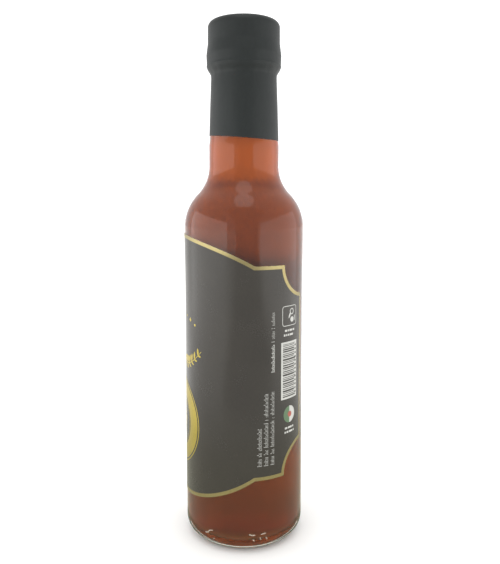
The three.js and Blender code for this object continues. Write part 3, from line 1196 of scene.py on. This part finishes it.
class MakeGold(bpy.types.Operator):
    """Lay the gold border, the medallion and the sprigs on the label"""
    bl_idname = "bottle.make_gold"
    bl_label = "Make Gold"

    def execute(self, context):
        glass, label = settings("glass", "label")

        def width(s0, s1):
            at_end = min(abs(s0), abs(s1)) > label.end - 0.01 * MM
            return label.border_end if at_end else label.border

        edge = label_outline(label)
        border = strip(edge, inset(edge, width), closed=True)
        border_foil = foil_material("Gold foil", label.gold)
        rich_foil = foil_material("Rich gold foil", label.emblem)
        for name, shapes, foil in (
                ("gold_border", [border], border_foil),
                ("gold_medallion", millimetres(medallion_shapes()), rich_foil),
                ("gold_sprigs", millimetres(sprig_shapes()), rich_foil)):
            lay_print(name, shapes, foil, glass, label, FOIL_LAYER)
        return {"FINISHED"}


class MakePrint(bpy.types.Operator):
    """Lay the small pale print, the striped panel and the badge on the label's end"""
    bl_idname = "bottle.make_print"
    bl_label = "Make Print"

    def execute(self, context):
        glass, label = settings("glass", "label")
        pale = ink_material("Pale ink", label.white)
        dark = ink_material("Black ink", label.black)
        green = ink_material("Green ink", label.green)
        red = ink_material("Red ink", label.red)
        pale_half, green_half, dot = badge_shapes()
        for name, shapes, ink, layer in (
                ("pale_print", pale_shapes(), pale, INK_LAYER),
                ("panel_stripes", stripe_shapes(), dark, OVERPRINT_LAYER),
                ("badge_pale_half", [pale_half], pale, INK_LAYER),
                ("badge_green_half", [green_half], green, INK_LAYER),
                ("badge_red_dot", [dot], red, OVERPRINT_LAYER)):
            lay_print(name, millimetres(shapes), ink, glass, label, layer)
        return {"FINISHED"}


class MakeStudio(bpy.types.Operator):
    """Set up the camera, the surrounding light, the softboxes, the floor and the cards"""
    bl_idname = "bottle.make_studio"
    bl_label = "Make Studio"

    def execute(self, context):
        scene = context.scene
        [studio] = settings("studio")
        add_camera(scene, studio)
        scene.view_settings.view_transform = "Standard"
        scene.world = soft_world(studio)
        add_softboxes(scene, studio)
        make_floor(scene, studio)
        make_cards(scene, studio)
        return {"FINISHED"}


def add_camera(scene, studio):
    """The camera stands on the +X side, where it sees the right end of the label."""
    data = bpy.data.cameras.new("studio_camera")
    data.lens = studio.lens
    data.sensor_width = 36.0
    data.shift_y = studio.shift
    data.clip_start = 0.01
    data.clip_end = 100.0
    camera = bpy.data.objects.new("studio_camera", data)
    scene.collection.objects.link(camera)
    camera.location = (studio.distance, studio.aside, studio.height)
    camera.rotation_euler = (math.pi / 2 - studio.pitch, 0.0, math.pi / 2)
    scene.camera = camera


def soft_world(studio):
    """Even light from all round, which reflections see dimmer overhead, and plain white behind."""
    world = bpy.data.worlds.new("Soft studio")
    world.use_nodes = True
    tree = world.node_tree
    background = tree.nodes["Background"]
    set_sockets(background, Color=(1, 1, 1, 1))
    place, ray = tree.nodes.new("ShaderNodeTexCoord"), tree.nodes.new("ShaderNodeLightPath")
    parts = tree.nodes.new("ShaderNodeSeparateXYZ")
    tree.links.new(place.outputs["Generated"], parts.inputs[0])
    gloss = tree.nodes.new("ShaderNodeMath")
    gloss.operation = "MULTIPLY"
    tree.links.new(ray.outputs["Is Glossy Ray"], gloss.inputs[0])
    tree.links.new(ray.outputs["Is Reflection Ray"], gloss.inputs[1])
    level, above, rise, seen = [tree.nodes.new("ShaderNodeMapRange") for _ in range(4)]
    set_sockets(level, To_Min=studio.light, To_Max=studio.gloss_level)
    set_sockets(above, To_Min=studio.light_above, To_Max=studio.gloss_above)
    rise.interpolation_type = "SMOOTHSTEP"
    set_sockets(rise, From_Min=0.02, From_Max=0.55)
    seen.inputs["To Max"].default_value = studio.light
    tree.links.new(gloss.outputs[0], level.inputs["Value"])
    tree.links.new(gloss.outputs[0], above.inputs["Value"])
    tree.links.new(parts.outputs["Z"], rise.inputs["Value"])
    tree.links.new(level.outputs[0], rise.inputs["To Min"])
    tree.links.new(above.outputs[0], rise.inputs["To Max"])
    tree.links.new(ray.outputs["Is Camera Ray"], seen.inputs["Value"])
    tree.links.new(rise.outputs[0], seen.inputs["To Min"])
    tree.links.new(seen.outputs[0], background.inputs["Strength"])
    return world


def add_softboxes(scene, studio):
    """A wide softbox on each side of the bottle and a small one overhead."""
    for name, side, brightness in (
            ("softbox_left", -1, studio.softbox_left), ("softbox_right", 1, studio.softbox_right)):
        add_softbox(
            scene, name, "RECTANGLE", studio.softbox_width, studio.softbox_height, brightness,
            (studio.softbox_ahead, side * studio.softbox_away, studio.softbox_height / 2),
            (math.pi / 2, 0.0, 0.0 if side < 0 else math.pi))
    add_softbox(
        scene, "softbox_above", "ELLIPSE", studio.overhead_width, studio.overhead_depth, studio.overhead,
        (studio.overhead_ahead, 0.0, studio.overhead_height), (0.0, 0.0, 0.0))


def add_softbox(scene, name, shape, width, height, brightness, place, turn):
    """A soft light that the camera doesn't see."""
    data = bpy.data.lights.new(name, "AREA")
    data.shape = shape
    data.size, data.size_y = width, height
    data.energy = brightness * math.pi * width * height
    light = bpy.data.objects.new(name, data)
    scene.collection.objects.link(light)
    light.location = place
    light.rotation_euler = turn
    light.visible_camera = False


def stage_mesh(scene, name, points, faces, material):
    """A floor or a card, which isn't part of the bottle."""
    mesh = bpy.data.meshes.new(name)
    mesh.from_pydata(points, [], faces)
    mesh.materials.append(material)
    thing = bpy.data.objects.new(name, mesh)
    scene.collection.objects.link(thing)
    return thing


def circle(radius, height, sides):
    """Points round an upright axis."""
    angles = [2 * math.pi * i / sides for i in range(sides)]
    return [(radius * math.cos(angle), radius * math.sin(angle), height) for angle in angles]


def make_floor(scene, studio):
    """A wide pale floor just under the base."""
    material, tree, shader, _ = new_material("Pale floor")
    set_sockets(shader, Roughness=0.7, IOR=1.3)
    grain = add_grain(tree, grain=40.0, cloud=4.0)
    vary_colour(
        tree, grain.outputs["Value"], scaled(studio.floor, 0.99), studio.floor, shader.inputs["Base Color"])
    edge = circle(studio.floor_radius, STANDING_HEIGHT - 0.1 * MM, FLOOR_SIDES)
    stage_mesh(scene, "floor", edge, [list(range(FLOOR_SIDES))], material)


def glow_material(name, tint, strength):
    """A card that gives off its own light."""
    material = bpy.data.materials.new(name)
    material.use_nodes = True
    tree = material.node_tree
    tree.nodes.clear()
    output, glow = tree.nodes.new("ShaderNodeOutputMaterial"), tree.nodes.new("ShaderNodeEmission")
    set_sockets(glow, Color=tint, Strength=strength)
    tree.links.new(glow.outputs[0], output.inputs["Surface"])
    return material, tree, glow


def show_only_in_glass(thing, through=False):
    """The camera doesn't see a card, but the bottle's gloss does, and the light through it may."""
    thing.visible_camera = False
    thing.visible_diffuse = False
    thing.visible_transmission = through
    thing.visible_shadow = False


# The dark card's outline, in millimetres: left edge, right edge, height
DARK_CARD = (
    (-103, 225, 20), (-45, 90, 80), (-29, 55, 120), (-37, 63, 175), (-90, 116, 256), (-90, 116, 275))


def make_cards(scene, studio):
    """A dark card beside the camera, and dim ones on the floor, that show only in the bottle. The floor ones
    carry painted shade and a warm painted glow of the floor near and under the bottle.
    """
    points = [(studio.card_ahead, side * MM, height * MM)
              for left, right, height in DARK_CARD for side in (left, right)]
    faces = [(2 * i, 2 * i + 1, 2 * i + 3, 2 * i + 2) for i in range(len(DARK_CARD) - 1)]
    dark, _, _ = glow_material("Dark card", (1, 1, 1, 1), studio.card)
    show_only_in_glass(stage_mesh(scene, "dark_card", points, faces, dark))

    # Painted shade of the floor under the bottle, which the light through the base sees
    base, _, _ = glow_material("Painted base shade", studio.painted_base_shade, studio.light)
    height = STANDING_HEIGHT - 0.05 * MM
    # The two floor cards paint the shade of the floor near and under the bottle into what the glass sees
    for name, inner, outer, material, through in (
            ("painted_floor_shade", studio.floor_gap, studio.floor_reach, painted_floor_shade_material(studio), False),
            ("painted_base_shade", studio.base_gap, studio.base_reach, base, True)):
        points = circle(inner, height, CARD_SIDES) + circle(outer, height, CARD_SIDES)
        faces = [
            (i, (i + 1) % CARD_SIDES, CARD_SIDES + (i + 1) % CARD_SIDES, CARD_SIDES + i)
            for i in range(CARD_SIDES)]
        show_only_in_glass(stage_mesh(scene, name, points, faces, material), through)


def painted_floor_shade_material(studio):
    """Painted shade and a warm painted glow of the floor near the bottle: a dim light that brightens
    outwards into the floor's own.
    """
    material, tree, glow = glow_material("Painted floor shade", studio.painted_floor_shade, studio.light)
    place, run = tree.nodes.new("ShaderNodeTexCoord"), tree.nodes.new("ShaderNodeVectorMath")
    run.operation = "LENGTH"
    fade = tree.nodes.new("ShaderNodeMapRange")
    fade.interpolation_type = "SMOOTHSTEP"
    set_sockets(fade, From_Min=studio.floor_near, From_Max=studio.floor_reach)
    tree.links.new(place.outputs["Object"], run.inputs[0])
    tree.links.new(run.outputs["Value"], fade.inputs["Value"])
    vary_colour(tree, fade.outputs[0], studio.painted_floor_shade, studio.far_floor, glow.inputs["Color"])
    return material


class BottlePanel(bpy.types.Panel):
    """The bottle's buttons and sizes in the sidebar"""
    bl_idname = "VIEW3D_PT_vinegar_bottle"
    bl_label = "Vinegar Bottle"
    bl_space_type = "VIEW_3D"
    bl_region_type = "UI"
    bl_category = "Vinegar Bottle"

    def draw(self, context):
        for operator in OPERATORS:
            self.layout.operator(operator.bl_idname)
        for name in GROUPS:
            group = getattr(context.scene, name)
            box = self.layout.box()
            for key in group.__annotations__:
                box.prop(group, key)


GROUPS = {
    "bottle_glass": BottleGlass,
    "bottle_vinegar": VinegarFilling,
    "bottle_capsule": ShrinkCapsule,
    "bottle_label": BlackLabel,
    "bottle_studio": BottleStudio,
}
OPERATORS = (MakeStudio, MakeGlass, MakeHeelMarks, MakeVinegar, MakeCapsule, MakeLabel, MakeGold, MakePrint)
CLASSES = (*GROUPS.values(), *OPERATORS, BottlePanel)


def register():
    """Makes the bottle's values, operators and panel known to Blender."""
    for cls in CLASSES:
        bpy.utils.register_class(cls)
    for name, group in GROUPS.items():
        setattr(bpy.types.Scene, name, bpy.props.PointerProperty(type=group))


def unregister():
    """Takes the values, operators and panel out again."""
    for name in GROUPS:
        delattr(bpy.types.Scene, name)
    for cls in reversed(CLASSES):
        bpy.utils.unregister_class(cls)


def main():
    """Builds every piece and the studio."""
    register()
    for operator in OPERATORS:
        family, name = operator.bl_idname.split(".")
        getattr(getattr(bpy.ops, family), name)()


if __name__ == "__main__":
    main()
